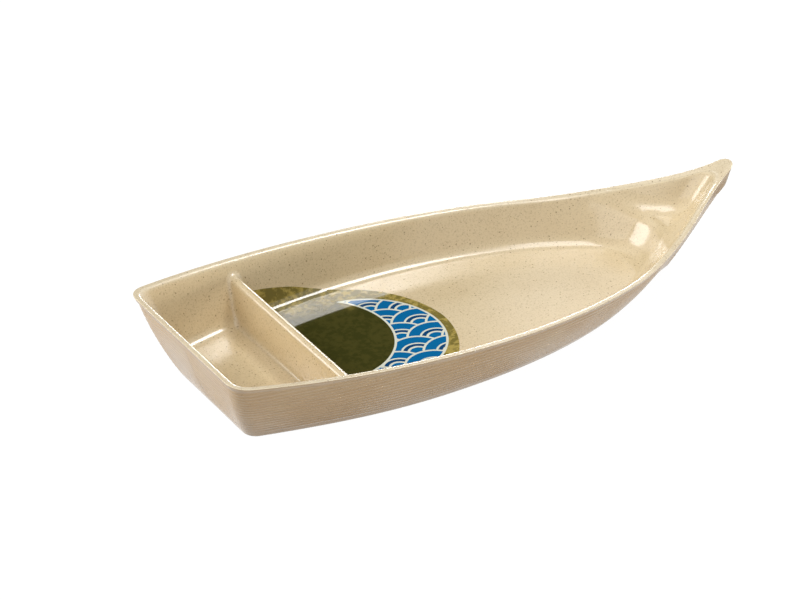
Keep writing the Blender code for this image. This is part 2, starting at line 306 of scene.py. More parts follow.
class PrintLook(PropertyGroup):
    """Place, colours and motif of the printed foil."""
    station: length("Station", 0.0642, "Middle of the oval that the print is cut from")
    length: length("Length", 0.1020, "Length of the oval")
    width: length("Width", 0.0859, "Width of the oval")
    length_power: number("Length power", 2.57, "How full the oval is along its length: 2 is an ellipse")
    width_power: number("Width power", 1.80, "How full the oval is across its width: 2 is an ellipse")
    lift: length("Lift", 0.00006, "How far the foil stands above the floor")
    thickness: length("Thickness", 0.0003, "Thickness of the foil")
    crescent: length("Crescent", 0.0310, "Radius of the crescent that holds the motif")
    wave: length("Wave", 0.0120, "Radius of one wave of the motif")
    dark: colour("Dark green", 62, 62, 26, "Ground of the print")
    olive: colour("Olive", 178, 158, 86, "Mottling of the print")
    blue: colour("Blue", 14, 106, 162, "Waves")
    deep: colour("Deep blue", 22, 70, 116, "Troughs of the waves")
    pale: colour("Pale", 222, 224, 208, "Outlines of the waves")


class StageLook(PropertyGroup):
    """Camera and lights."""
    azimuth: angle("Azimuth", -31.084, "Direction from which the camera looks")
    elevation: angle("Elevation", 30.297, "Height of the camera above the horizon")
    distance: length("Distance", 1.3360, "From the camera to the point that it looks at")
    aim: FloatVectorProperty(name="Aim", description="Point that the camera looks at",
                             default=(-0.02724, 0.0, 0.02029), subtype="TRANSLATION", unit="LENGTH")
    lens: number("Lens", 154.35, "Focal length in millimetres")
    ambient: number("Ambient", 0.18, "Even light from all round")
    floor_shade: fraction("Floor shade", 0.14, "How much of the shadow the floor shows")


class BoatPlate(PropertyGroup):
    """Everything that a user may change on the plate."""
    rim: PointerProperty(type=RimSizes)
    foot: PointerProperty(type=FootSizes)
    wall: PointerProperty(type=WallSizes)
    deck: PointerProperty(type=DeckSizes)
    divider: PointerProperty(type=DividerSizes)
    grain: PointerProperty(type=GrainSizes)
    melamine: PointerProperty(type=MelamineLook)
    print: PointerProperty(type=PrintLook)
    stage: PointerProperty(type=StageLook)


def bezier(points, t):
    """Points at t along a Bezier curve of any degree."""
    t = np.asarray(t)[:, None]
    degree = len(points) - 1
    return sum(math.comb(degree, k) * t ** k * (1.0 - t) ** (degree - k) * np.asarray(point)
               for k, point in enumerate(points))


def steps(count):
    """Even shares from 0 to 1."""
    return np.linspace(0.0, 1.0, count + 1)


def rounded(start, corner, end, count):
    """Rows that round off the corner between two rows."""
    return [start * (1.0 - t) ** 2 + corner * 2.0 * t * (1.0 - t) + end * t ** 2 for t in steps(count)]


class HullLines:
    """The rule that shapes the plate: outlines of rim and foot, with walls, floor, divider and deck."""

    def __init__(self, plate):
        rim, foot, wall = plate.rim, plate.foot, plate.wall
        self.plate = plate
        self.lip = wall.thickness + wall.lip_proud
        self.floor_top = foot.height + wall.floor
        self.rim = Plan(0.0, rim.length, rim.transom_width / 2, rim.beam / 2, rim.beam_station,
                        rim.splay, rim.entry, rim.corner, rim.nose)
        self.foot = Plan(foot.stern_station, foot.bow_station, foot.stern_width / 2, foot.beam / 2,
                         foot.beam_station, foot.splay, foot.entry, foot.corner, foot.nose)
        self.divider_stations = self.crowd_at_divider()
        self.rim_line = self.outline(self.rim)
        self.rim_height = self.sheer(self.rim_line[:, 0])
        self.mouth_height = self.sheer(self.outline(self.rim, self.lip, wall.mouth_nose)[:, 0])
        ends = np.vstack(self.outer_rows() + self.rim_rows())[:, 0]
        self.middle = (ends.min() + ends.max()) / 2

    def crowd_at_divider(self):
        """Stations that follow the divider's section: foot fillet, drafted side and round top."""
        divider = self.plate.divider
        foot_half = self.divider_foot_half()
        top_half = divider.top / 2
        reach = foot_half + 1.5 * divider.fillet
        fillet = reach + (foot_half - reach) * steps(DIVIDER_FOOT_STEPS)
        side = foot_half + (top_half - foot_half) * steps(DIVIDER_SIDE_STEPS)
        crown = top_half * np.cos(steps(DIVIDER_TOP_STEPS) * math.pi / 2)
        ahead = np.concatenate([fillet[:-1], side[:-1], crown])
        return divider.station + np.concatenate([-ahead, ahead[-2::-1]])

    def divider_foot_half(self):
        """Half the divider's thickness at the floor, without its fillet."""
        divider = self.plate.divider
        return divider.top / 2 + divider.height * math.tan(divider.draft)

    def half_breadth(self, plan):
        """One side of a plan, from the transom's corner over the widest station to the nose."""
        rim = self.plate.rim
        fore_run = plan.bow - plan.beam_station
        aft_handle = rim.aft_fullness * (plan.beam_station - plan.stern)
        bow_handle = rim.bow_fullness * fore_run
        widest = (plan.beam_station, plan.beam_half)
        nose = (plan.bow - rim.nose_run * plan.nose, plan.nose)
        aft = bezier([(plan.stern, plan.stern_half),
                      (plan.stern + aft_handle, plan.stern_half + aft_handle * math.tan(plan.splay)),
                      (plan.beam_station - aft_handle, plan.beam_half),
                      widest], steps(CURVE_SAMPLES))
        fore = bezier([widest,
                       (plan.beam_station + rim.fore_fullness * fore_run, plan.beam_half),
                       (nose[0] - bow_handle, nose[1] + bow_handle * math.tan(plan.entry)),
                       nose], steps(CURVE_SAMPLES))
        return np.vstack([aft, fore[1:]])

    def outline(self, plan, inset=0.0, blunt=0.0):
        """A plan's closed outline, drawn in by inset, with round stern corners and at least a blunt nose."""
        nose_run = self.plate.rim.nose_run
        x, y = self.half_breadth(plan).T
        slope = np.gradient(y, x)
        y = y - inset * np.sqrt(1.0 + slope ** 2)
        nose = max(plan.nose - inset, plan.nose / 2, blunt)
        end = np.interp(-nose, -y[CURVE_SAMPLES:], x[CURVE_SAMPLES:])
        stern = plan.stern + inset
        corner = max(plan.corner - inset / 2, plan.corner / 2)

        def side(station):
            return np.interp(station, x, y)

        transom = bezier([(stern, 0.0), (stern, side(stern) - corner)], steps(TRANSOM_STEPS))
        turn = bezier([transom[-1], (stern, side(stern)), (stern + corner, side(stern + corner))],
                      steps(CORNER_STEPS))
        crowd = self.divider_stations
        aft_run = stern + corner + (crowd[0] - stern - corner) * steps(STERN_RUN_STEPS)
        fore_run = end + (crowd[-1] - end) * (1.0 - steps(FORE_RUN_STEPS)) ** FORE_RUN_CROWDING
        stations = np.concatenate([aft_run[1:-1], crowd, fore_run[1:]])
        run = np.column_stack([stations, side(stations)])
        tip = end + nose_run * nose
        turn_in = nose + nose_run * nose * np.interp(end, x, slope)
        point = bezier([(end, nose), (tip, turn_in), (tip, 0.0)], steps(NOSE_STEPS))
        half = np.vstack([transom, turn[1:], run, point[1:]])
        return np.vstack([half, half[-2:0:-1] * (1.0, -1.0)])

    def sheer(self, station):
        """Height of the rim at a station."""
        rim = self.plate.rim
        aft = np.clip(1.0 - station / rim.waist_station, 0.0, 1.0) ** rim.aft_power
        bow_span = rim.length - rim.waist_station
        bow = np.clip((station - rim.waist_station) / bow_span, 0.0, 1.0) ** rim.bow_power
        return rim.waist_height + (rim.stern_height - rim.waist_height) * aft \
            + (rim.bow_height - rim.waist_height) * bow

    def level(self, height):
        """The same height at every point of a row."""
        return np.full(len(self.rim_height), height)

    def wall_row(self, height, inset=0.0):
        """The wall's outline at a height, which may change from point to point, drawn in by inset."""
        share = (height / self.rim_height)[:, None]
        low, high = self.outline(self.foot, inset), self.outline(self.rim, inset)
        return np.column_stack([low + (high - low) * share, height])

    def inside_row(self, height, draw=0.0):
        """The eating side's outline at a height, drawn in by draw: blunter at the bow than the outside."""
        wall, inset = self.plate.wall, self.lip + draw
        share = (height / self.mouth_height)[:, None]
        low = self.outline(self.foot, inset, wall.floor_nose)
        high = self.outline(self.rim, inset, wall.mouth_nose)
        return np.column_stack([low + (high - low) * share, height])

    def to_spine(self, row, count):
        """Rows that close a flat area, from its edge to the plate's middle line."""
        first_run = TRANSOM_STEPS + CORNER_STEPS
        last_run = len(row) // 2 - NOSE_STEPS
        spine = row.copy()
        spine[:, 0] = np.clip(spine[:, 0], row[first_run, 0], row[last_run, 0])
        spine[:, 1] = 0.0
        return [row + (spine - row) * share for share in steps(count)[1:]]

    def foot_rows(self):
        """Rows from the middle of the recess, round the foot, to the start of the wall."""
        foot = self.plate.foot
        ring_inside = foot.radius + foot.width
        recess = np.column_stack([self.outline(self.foot, ring_inside + foot.draft),
                                  self.level(foot.height)])
        inner_edge = np.column_stack([self.outline(self.foot, ring_inside), self.level(0.0)])
        outer_edge = rounded(self.wall_row(self.level(0.0), foot.radius), self.wall_row(self.level(0.0)),
                             self.wall_row(self.level(foot.radius)), EDGE_ROWS)
        return self.to_spine(recess, RECESS_ROWS)[::-1] + [recess, inner_edge] + outer_edge

    def outer_rows(self):
        """Rows up the outside of the wall, out over the tip's swell, to the lip under the rim."""
        rim, wall, foot = self.plate.rim, self.plate.wall, self.plate.foot
        tip = np.clip((self.rim_line[:, 0] - rim.tip_station) / (rim.tip_end - rim.tip_station), 0.0, 1.0)
        lip_foot = self.rim_height - wall.lip_height - rim.tip_drop * tip
        swollen = self.wall_row(self.rim_height, -rim.tip_swell)
        swell = (swollen - self.wall_row(self.rim_height)) * tip[:, None]
        rows = []
        for share in steps(OUTER_ROWS)[1:]:
            height = foot.radius + (lip_foot - foot.radius) * share
            arch = 4.0 * share * (1.0 - share)
            row = self.wall_row(height, wall.lip_proud * share - wall.bulge * arch)
            rows.append(row + swell * share ** rim.swell_power)
        rows.append(self.wall_row(lip_foot + wall.lip_proud) + swell)
        return rows

    def rim_rows(self):
        """Rows over the rim: a crisp outer edge, a flat top and a soft inner edge."""
        rim, height, mouth = self.plate.rim, self.rim_height, self.mouth_height
        outer_edge = rounded(self.wall_row(height - rim.edge), self.wall_row(height),
                             self.wall_row(height, rim.edge), EDGE_ROWS)
        inner_edge = rounded(self.inside_row(mouth, -rim.round), self.inside_row(mouth),
                             self.inside_row(mouth - rim.round), EDGE_ROWS)
        return outer_edge + inner_edge

    def eating_rows(self):
        """Rows down the wall, round the fillet and over the floor, raised over the divider and the deck."""
        wall = self.plate.wall
        floor = self.level(self.floor_top)
        wall_top = self.mouth_height - self.plate.rim.round
        wall_foot = self.level(self.floor_top + wall.fillet)
        rows = [self.inside_row(wall_top + (wall_foot - wall_top) * share)
                for share in steps(INNER_ROWS)[1:-1]]
        flat = self.inside_row(floor, wall.fillet)
        rows += rounded(self.inside_row(wall_foot), self.inside_row(floor), flat, FILLET_ROWS)
        rows += self.to_spine(flat, FLOOR_ROWS)
        surface = np.array(rows)
        station = surface[..., 0]
        divider, deck = self.plate.divider, self.plate.deck
        aft, ahead = self.divider_stations[0], self.divider_stations[-1]
        by_divider = (station > aft - STATION_SLACK) & (station < ahead + STATION_SLACK)
        self.raise_over(surface, by_divider, self.divider_gap, divider.fillet)
        self.raise_over(surface, station > deck.station - 2 * deck.fillet, self.deck_gap, deck.fillet)
        return list(surface)

    def raise_over(self, surface, near, form_gap, fillet):
        """Raises points of the eating side over a form that stands on it, with an even fillet round it."""
        across, along = np.gradient(surface, axis=0), np.gradient(surface, axis=1)
        normal = np.cross(along, across)
        size = np.linalg.norm(normal, axis=2)
        lean = np.where(size < NO_AREA, 1.0, np.abs(normal[..., 2]) / np.maximum(size, NO_AREA))[near]
        x, y, height = surface[near].T
        low, high = height.copy(), height + self.plate.rim.bow_height
        for _ in range(SOLVE_STEPS):
            z = (low + high) / 2
            hull, form = (z - height) * lean, form_gap(x, y, z)
            overlap = np.maximum(fillet - np.abs(hull - form), 0.0) / fillet
            outside = np.minimum(hull, form) - overlap ** 2 * fillet / 4 > 0.0
            low, high = np.where(outside, low, z), np.where(outside, z, high)
        surface[..., 2][near] = high

    def divider_gap(self, x, _, z):
        """Distance from a point to the divider, without its fillets."""
        divider = self.plate.divider
        crown = divider.top / 2
        foot_half = self.divider_foot_half()
        span = divider.height - crown
        slope = (foot_half - crown) / span
        upright = math.sqrt(1.0 - slope ** 2)
        out, up = np.abs(x - divider.station), z - self.floor_top
        flank = out * upright + up * slope - foot_half
        cap = np.hypot(out, up - span) - crown
        return np.where(up * upright - out * slope > span * upright, cap, flank)

    def deck_gap(self, x, y, z):
        """Distance from a point to the deck, without its fillets."""
        deck = self.plate.deck
        hollow = deck.hollow * np.clip(1.0 - (2.0 * y / deck.width) ** 2, 0.0, 1.0)
        up = z - self.floor_top
        front = up * math.cos(deck.slope) - (x - deck.station - hollow) * math.sin(deck.slope)
        top = up - deck.rise
        overlap = np.maximum(deck.edge - np.abs(front - top), 0.0) / deck.edge
        return np.maximum(front, top) + overlap ** 2 * deck.edge / 4


def skin(name, rows, marks):
    """A closed mesh object over rows of equal count, whose first and last row fold onto the middle line."""
    grid = np.array(rows)
    row_count, around = grid.shape[:2]
    index = np.arange(row_count * around).reshape(row_count, around)
    turned = np.roll(index, -1, axis=1)
    faces = np.stack([index[:-1], turned[:-1], turned[1:], index[1:]], axis=-1).reshape(-1, 4)
    data = bpy.data.meshes.new(name)
    data.from_pydata(grid.reshape(-1, 3).tolist(), [], faces.tolist())
    for mark, values in marks.items():
        layer = data.attributes.new(mark, "FLOAT", "POINT")
        layer.data.foreach_set("value", np.asarray(values, dtype=np.float32).ravel())
    mesh = bmesh.new()
    mesh.from_mesh(data)
    bmesh.ops.remove_doubles(mesh, verts=mesh.verts, dist=WELD)
    bmesh.ops.dissolve_degenerate(mesh, edges=mesh.edges, dist=WELD)
    bmesh.ops.recalc_face_normals(mesh, faces=mesh.faces)
    mesh.to_mesh(data)
    mesh.free()
    data.shade_smooth()
    return add_object(name, data)


def add_object(name, data):
    """Puts a mesh, a light or a camera into the scene as an object at the origin."""
    obj = bpy.data.objects.new(name, data)
    bpy.context.scene.collection.objects.link(obj)
    return obj


class Term:
    """A node's output that takes part in arithmetic."""

    def __init__(self, graph, socket):
        self.graph = graph
        self.socket = socket

    def math(self, operation, *others):
        """A Math node on this value and others."""
        return self.graph.math(operation, self, *others)

    def __add__(self, other):
        return self.math("ADD", other)

    def __radd__(self, other):
        return self.math("ADD", other)

    def __sub__(self, other):
        return self.math("SUBTRACT", other)

    def __rsub__(self, other):
        return self.graph.math("SUBTRACT", other, self)

    def __mul__(self, other):
        return self.math("MULTIPLY", other)

    def __rmul__(self, other):
        return self.math("MULTIPLY", other)

    def __truediv__(self, other):
        return self.math("DIVIDE", other)

    def __pow__(self, other):
        return self.math("POWER", other)

    def __lt__(self, other):
        return self.math("LESS_THAN", other)

    def __gt__(self, other):
        return self.math("GREATER_THAN", other)


class Graph:
    """A node tree that is written as calls and expressions."""

    def __init__(self, tree):
        self.tree = tree
        tree.nodes.clear()

    def add(self, kind, settings=None, sockets=None):
        """A node of a type, with its settings set first and then its sockets' values or links."""
        node = self.tree.nodes.new(kind)
        for key, value in (settings or {}).items():
            if key == "stops":
                self.set_stops(node.color_ramp, value)
            elif key == "interpolation":
                node.color_ramp.interpolation = value
            else:
                setattr(node, key, value)
        for key, value in (sockets or {}).items():
            self.feed(self.find(node.inputs, key), value)
        return node

    def out(self, node, key=0):
        """An output of a node as a term."""
        return Term(self, self.find(node.outputs, key))

    def math(self, operation, *values):
        """A Math node as a term."""
        node = self.tree.nodes.new("ShaderNodeMath")
        node.operation = operation
        for socket, value in zip(node.inputs, values):
            self.feed(socket, value)
        return Term(self, node.outputs[0])

    def mark(self, name):
        """A mark that the mesh carries at its points."""
        return self.out(self.add("ShaderNodeAttribute", {"attribute_name": name}), "Fac")

    def noise(self, place, pattern):
        """A noise pattern that varies about a half."""
        node = self.add("ShaderNodeTexNoise", None, {"Vector": place, "Scale": pattern.scale,
                                                     "Detail": pattern.detail,
                                                     "Roughness": pattern.roughness})
        return self.out(node)

    def between(self, value, low, high):
        """A smooth step from 0 at low to 1 at high."""
        node = self.add("ShaderNodeMapRange", {"interpolation_type": "SMOOTHSTEP"},
                        {"Value": value, "From Min": low, "From Max": high})
        return self.out(node, "Result")

    def blend(self, factor, first, second):
        """A colour between two colours."""
        node = self.add("ShaderNodeMix", {"data_type": "RGBA"}, {"Factor": factor, "A": first, "B": second})
        return self.out(node, "Result")

    def feed(self, socket, value):
        """Links a term to a socket, or sets the socket's own value."""
        if isinstance(value, Term):
            self.tree.links.new(value.socket, socket)
        elif socket.type == "RGBA" and len(value) == 3:
            socket.default_value = (*value, 1.0)
        else:
            socket.default_value = value

    @staticmethod
    def find(sockets, key):
        """The socket in use that has a name, or the one at a place."""
        if isinstance(key, int):
            return sockets[key]
        return next(socket for socket in sockets if socket.name == key and socket.enabled)

    @staticmethod
    def set_stops(ramp, stops):
        """Gives a colour ramp its stops."""
        while len(ramp.elements) < len(stops):
            ramp.elements.new(0.5)
        for element, (place, shade) in zip(ramp.elements, stops):
            element.position = place
            element.color = (*shade, 1.0)


def new_material(name):
    """A material with an empty node tree, as (material, graph)."""
    material = bpy.data.materials.new(name)
    material.use_nodes = True
    return material, Graph(material.node_tree)


def surface(graph, sockets):
    """Ends a material's graph in one Principled shader."""
    shader = graph.add("ShaderNodeBsdfPrincipled", None, sockets)
    graph.add("ShaderNodeOutputMaterial", None, {"Surface": graph.out(shader, "BSDF")})


def speck_mask(graph, place, specks):
    """Round specks of about a radius, one in some of the cells of a grid."""
    voronoi = graph.add("ShaderNodeTexVoronoi", {"voronoi_dimensions": "3D", "feature": "F1"},
                        {"Vector": place, "Scale": 1.0 / specks.cell, "Randomness": 1.0})
    chance = graph.add("ShaderNodeSeparateColor", None, {"Color": graph.out(voronoi, "Color")})
    size = graph.out(chance, "Green") * SPECK_SPREAD + LEAST_SPECK
    reach = size * (specks.radius / specks.cell)
    spot = 1.0 - graph.between(graph.out(voronoi, "Distance"), reach * SPECK_CORE, reach)
    return spot * (graph.out(chance, "Red") < specks.share) * specks.strength


def melamine_material(look):
    """Cream melamine with brown specks: glazed inside, grained satin outside, with painted shade on the
    outside and painted light on the rim's top.
    """
    material, graph = new_material("speckled_melamine")
    place = graph.out(graph.add("ShaderNodeTexCoord"), "Object")
    outside, edge, run, girth = (graph.mark(name) for name in ("outside", "edge", "run", "girth"))

    # Painted shade: points on the outside take the darker outside colour, and the inside keeps the cream
    cream_with_painted_light = graph.blend(outside, tuple(look.cream), tuple(look.outside))
    # Painted light: the rim's top and the start of the inside are blended towards the lighter edge colour
    cream_with_painted_light = graph.blend(edge, cream_with_painted_light, tuple(look.edge))
    warm = tuple(level * tint for level, tint in zip(look.cream, CLOUD_TINT))
    cloud = graph.between(graph.noise(place, CLOUD), *CLOUD_RANGE) * CLOUD_STRENGTH
    body = graph.blend(cloud, cream_with_painted_light, warm)

    dots = graph.between(graph.noise(place, SAND), *SAND_RANGE) * SAND_STRENGTH
    for specks in (SMALL_SPECKS, LARGE_SPECKS):
        dots = dots.math("MAXIMUM", speck_mask(graph, place, specks))
    along_grain = graph.add("ShaderNodeCombineXYZ", None, {
        "X": run * STREAKS_ALONG, "Y": girth * STREAKS_UP})
    streak = graph.noise(graph.out(along_grain), STREAK)
    lines = graph.between(streak, *STREAK_RANGE) * STREAK_STRENGTH * outside
    brown = (dots * (1.0 - OUTSIDE_SPECK_LOSS * outside)).math("MAXIMUM", lines)

    bump = graph.add("ShaderNodeBump", None, {
        "Strength": STREAK_BUMP, "Distance": STREAK_RELIEF, "Height": streak * outside})
    surface(graph, {"Base Color": graph.blend(brown, body, tuple(look.speck)),
                    "Roughness": look.satin + (streak - 0.5) * STREAK_ROUGHNESS * outside,
                    "Specular IOR Level": BODY_SPECULAR,
                    "Coat Weight": 1.0 - OUTSIDE_COAT_LOSS * outside,
                    "Coat Roughness": look.gloss,
                    "Coat IOR": GLAZE_IOR,
                    "Normal": graph.out(bump)})
    return material


def wave_rings(graph, across, up, radius):
    """Distance from the middle of the frontmost of overlapping waves, as a share of their radius."""
    rise = radius / 2
    row = (up / rise).math("FLOOR")

    def reach(row_index):
        shift = row_index.math("FLOORED_MODULO", 2.0) * radius
        side = (across - shift + radius).math("FLOORED_MODULO", 2.0 * radius) - radius
        climb = up - row_index * rise
        return (side * side + climb * climb).math("SQRT") / radius

    front, middle, back = reach(row - 1.0), reach(row), reach(row + 1.0)
    in_front, in_middle = front < 1.0, middle < 1.0
    behind = middle * in_middle + back * (1.0 - in_middle)
    return front * in_front + behind * (1.0 - in_front)


def print_material(look, middle, oval_middle):
    """Glossy print: mottled green ground with a crescent of overlapping waves."""
    material, graph = new_material("printed_foil")
    place = graph.out(graph.add("ShaderNodeTexCoord"), "Object")
    axes = graph.add("ShaderNodeSeparateXYZ", None, {"Vector": place})
    across, up = graph.out(axes, "X") - middle, graph.out(axes, "Y")

    def distance(x, y):
        return ((across - x) ** 2.0 + (up - y) ** 2.0).math("SQRT") / look.crescent

    along = ((graph.out(axes, "X") - oval_middle) / (look.length / 2)).math("ABSOLUTE") ** look.length_power
    oval = along + (up / (look.width / 2)).math("ABSOLUTE") ** look.width_power
    drift = graph.noise(place, BROAD_MOTTLE) - 0.5
    margin = graph.between(oval + drift * MARGIN_RAGGEDNESS, *MARGIN_RANGE)
    mottle = graph.between(graph.noise(place, FINE_MOTTLE) + drift * MOTTLE_DRIFT, *MOTTLE_RANGE)
    olive = margin * (LEAST_OLIVE + (1.0 - LEAST_OLIVE) * mottle) + GROUND_OLIVE * mottle
    ground = graph.blend(olive, tuple(look.dark), tuple(look.olive))

    rings = wave_rings(graph, across, up, look.wave)
    stops = [(start, tuple(getattr(look, ink))) for start, ink in WAVE_BANDS]
    waves = graph.out(graph.add("ShaderNodeValToRGB", {"stops": stops, "interpolation": "CONSTANT"},
                                {"Fac": rings}), "Color")
    hollow = distance(*(look.crescent * shift for shift in HOLLOW_SHIFT))
    rounding = distance(0.0, 0.0)
    crescent = (hollow > 1.0) * (rounding < 1.0)
    filling = (hollow > 1.0 + CRESCENT_LINE) * (rounding < 1.0 - CRESCENT_LINE)
    ink = graph.blend(crescent * (1.0 - filling), waves, tuple(look.pale))
    surface(graph, {"Base Color": graph.blend(crescent, ground, ink), "Roughness": PRINT_ROUGHNESS,
                    "IOR": GLAZE_IOR})
    return material


def new_tree(name, inputs):
    """A Geometry Nodes tree with a mesh in, a mesh out and named inputs, as (tree, graph, input terms)."""
    tree = bpy.data.node_groups.new(name, "GeometryNodeTree")
    tree.interface.new_socket("Geometry", in_out="OUTPUT", socket_type="NodeSocketGeometry")
    tree.interface.new_socket("Geometry", in_out="INPUT", socket_type="NodeSocketGeometry")
    for label, kind in inputs.items():
        tree.interface.new_socket(label, in_out="INPUT", socket_type=kind)
    graph = Graph(tree)
    entry = graph.add("NodeGroupInput")
    return tree, graph, {socket.name: Term(graph, socket) for socket in entry.outputs if socket.name}


def grain_tree():
    """Ribs that run along the outside of a hull, wandering and fading as moulded grain does."""
    tree, graph, given = new_tree("grain_relief", {
        "Pitch": "NodeSocketFloat", "Depth": "NodeSocketFloat", "Seed": "NodeSocketInt",
        "Material": "NodeSocketMaterial"})

    def named(label):
        node = graph.add("GeometryNodeInputNamedAttribute", {"data_type": "FLOAT"}, {"Name": label})
        return graph.out(node, "Attribute")

    def noise(scale_along, scale_up, detail):
        spot = graph.add("ShaderNodeCombineXYZ", None, {
            "X": run * scale_along, "Y": girth * scale_up, "Z": given["Seed"] * SEED_STEP})
        return graph.noise(graph.out(spot), Noise(1.0, detail))

    run, girth, grain = named("run"), named("girth"), named("grain")
    strength = graph.between(noise(*RIB_STRENGTH), *RIB_STRENGTH_RANGE)
    ribs = ((girth / given["Pitch"] + WANDER_PITCHES * noise(*RIB_WANDER)) * math.tau).math("SINE")
    rise = ribs * given["Depth"] * grain * (LEAST_STRENGTH + (1.0 - LEAST_STRENGTH) * strength)
    normal = graph.out(graph.add("GeometryNodeInputNormal"), "Normal")
    offset = graph.add("ShaderNodeVectorMath", {"operation": "SCALE"}, {"Vector": normal, "Scale": rise})
    moved = graph.add("GeometryNodeSetPosition", None, {
        "Geometry": given["Geometry"], "Offset": graph.out(offset, "Vector")})
    real = graph.add("GeometryNodeRealizeInstances", None, {"Geometry": graph.out(moved, "Geometry")})
    coated = graph.add("GeometryNodeSetMaterial", None, {
        "Geometry": graph.out(real, "Geometry"), "Material": given["Material"]})
    graph.add("NodeGroupOutput", None, {"Geometry": graph.out(coated, "Geometry")})
    return tree


def bake_tree(obj, tree, values):
    """Runs a Geometry Nodes tree on an object and keeps the result as its mesh."""
    modifier = obj.modifiers.new(tree.name, "NODES")
    modifier.node_group = tree
    for label, value in values.items():
        socket = next(item for item in tree.interface.items_tree
                      if item.name == label and item.in_out == "INPUT")
        modifier[socket.identifier] = value
    depsgraph = bpy.context.evaluated_depsgraph_get()
    result = bpy.data.meshes.new_from_object(obj.evaluated_get(depsgraph), preserve_all_data_layers=True,
                                             depsgraph=depsgraph)
    obj.modifiers.clear()
    obj.data = result
    result.name = obj.name


def hull_marks(groups):
    """Marks at the hull's points: which side they are on, where the rim's painted light lies, and their
    place on the grained outside.
    """
    rows = np.array([row for group in groups.values() for row in group])
    counts = {name: len(group) for name, group in groups.items()}
    first_outer = counts["foot"]
    last_outer = first_outer + counts["outer"] - 1
    row_index = np.arange(len(rows))
    outside = np.clip((last_outer + EDGE_ROWS - row_index) / (EDGE_ROWS / 2), 0.0, 1.0)
    climb = np.clip((row_index - first_outer) / (last_outer - first_outer), 0.0, 1.0)
    grain = np.clip(climb * RIBS_SET_IN, 0.0, 1.0) * np.clip((1.0 - climb) * RIBS_FADE, 0.0, 1.0)
    steps_up = np.linalg.norm(np.diff(rows, axis=0, prepend=rows[:1]), axis=2)
    steps_up[:first_outer] = 0.0
    girth = np.cumsum(steps_up, axis=0)
    # The edge mark carries painted light: it covers the rim's top from the middle of its outer edge and
    # fades out a little way down the inside
    mid_outer_edge = last_outer + EDGE_ROWS / 2
    mid_inner_edge = last_outer + 3 * EDGE_ROWS // 2 + 1
    past_rim = girth - girth[mid_inner_edge]
    edge = np.clip(1.0 - past_rim / RIM_LIGHT_FADE, 0.0, 1.0) * (row_index > mid_outer_edge)[:, None]
    belt = rows[(first_outer + last_outer) // 2]
    along = np.cumsum(np.linalg.norm(np.diff(belt, axis=0, prepend=belt[:1]), axis=1))
    shape = rows.shape[:2]
    return {"outside": np.broadcast_to(outside[:, None], shape),
            "edge": edge,
            "grain": np.broadcast_to(grain[:, None], shape),
            "girth": girth,
            "run": np.broadcast_to(along[None, :], shape)}


def to_frame(rows, middle):
    """Moves rows from stations to the model's frame, whose origin lies under the plate's middle."""
    return [row - np.array([middle, 0.0, 0.0]) for row in rows]


class BOATPLATE_OT_hull(Operator):
    """Build the moulded hull: foot, grained walls, rim, glazed floor, divider and deck"""
    bl_idname = "boatplate.hull"
    bl_label = "Hull"

    def execute(self, context):
        plate = context.scene.boat_plate
        lines = HullLines(plate)
        groups = {"foot": lines.foot_rows(), "outer": lines.outer_rows(), "rim": lines.rim_rows(),
                  "eating": lines.eating_rows()}
        rows = to_frame([row for group in groups.values() for row in group], lines.middle)
        hull = skin("hull", rows, hull_marks(groups))
        bake_tree(hull, grain_tree(), {"Pitch": plate.grain.pitch, "Depth": plate.grain.depth,
                                       "Seed": plate.grain.seed,
                                       "Material": melamine_material(plate.melamine)})
        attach(hull, BODY)
        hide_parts("boat_body")
        return {"FINISHED"}


def print_plan(plate, lines):
    """Rings of points round the print's hub, as (rings, spokes, 2), and the hub's place along the plate.

    The print is an oval that is cut off along the divider's foot.
    """
    look = plate.print
    chord = plate.divider.station + lines.divider_foot_half() + plate.divider.fillet
    hub = chord + PRINT_HUB * (look.station + look.length / 2 - chord)
    turns = np.linspace(-math.pi, math.pi, PRINT_SPOKES, endpoint=False)
    low, high = np.zeros(PRINT_SPOKES), np.full(PRINT_SPOKES, look.length)
    for _ in range(SOLVE_STEPS):
        reach = (low + high) / 2
        x, y = hub + reach * np.cos(turns), reach * np.sin(turns)
        oval = np.abs((x - look.station) * 2 / look.length) ** look.length_power \
            + np.abs(y * 2 / look.width) ** look.width_power
        inside = (oval < 1.0) & (x > chord)
        low, high = np.where(inside, reach, low), np.where(inside, high, reach)
    shares = steps(PRINT_RINGS)[1:, None]
    middle = hub - lines.middle
    rings = np.stack([middle + shares * low * np.cos(turns), shares * low * np.sin(turns)], axis=-1)
    return rings, middle


def ringed_mesh(name, hub, rings):
    """A mesh of rings of points round a hub, that faces up and is smooth but for its outer edge."""
    mesh = bmesh.new()
    centre = mesh.verts.new(hub)
    loops = [[mesh.verts.new(point) for point in ring] for ring in rings]
    spokes = range(len(loops[0]))
    for k in spokes:
        mesh.faces.new([centre, loops[0][k - 1], loops[0][k]])
    for inner, outer in zip(loops, loops[1:]):
        for k in spokes:
            mesh.faces.new([inner[k - 1], outer[k - 1], outer[k], inner[k]])
    bmesh.ops.recalc_face_normals(mesh, faces=mesh.faces)
    for side in mesh.edges:
        side.smooth = not side.is_boundary
    data = bpy.data.meshes.new(name)
    mesh.to_mesh(data)
    mesh.free()
    if data.polygons[0].normal.z < 0.0:
        data.flip_normals()
    data.shade_smooth()
    return data


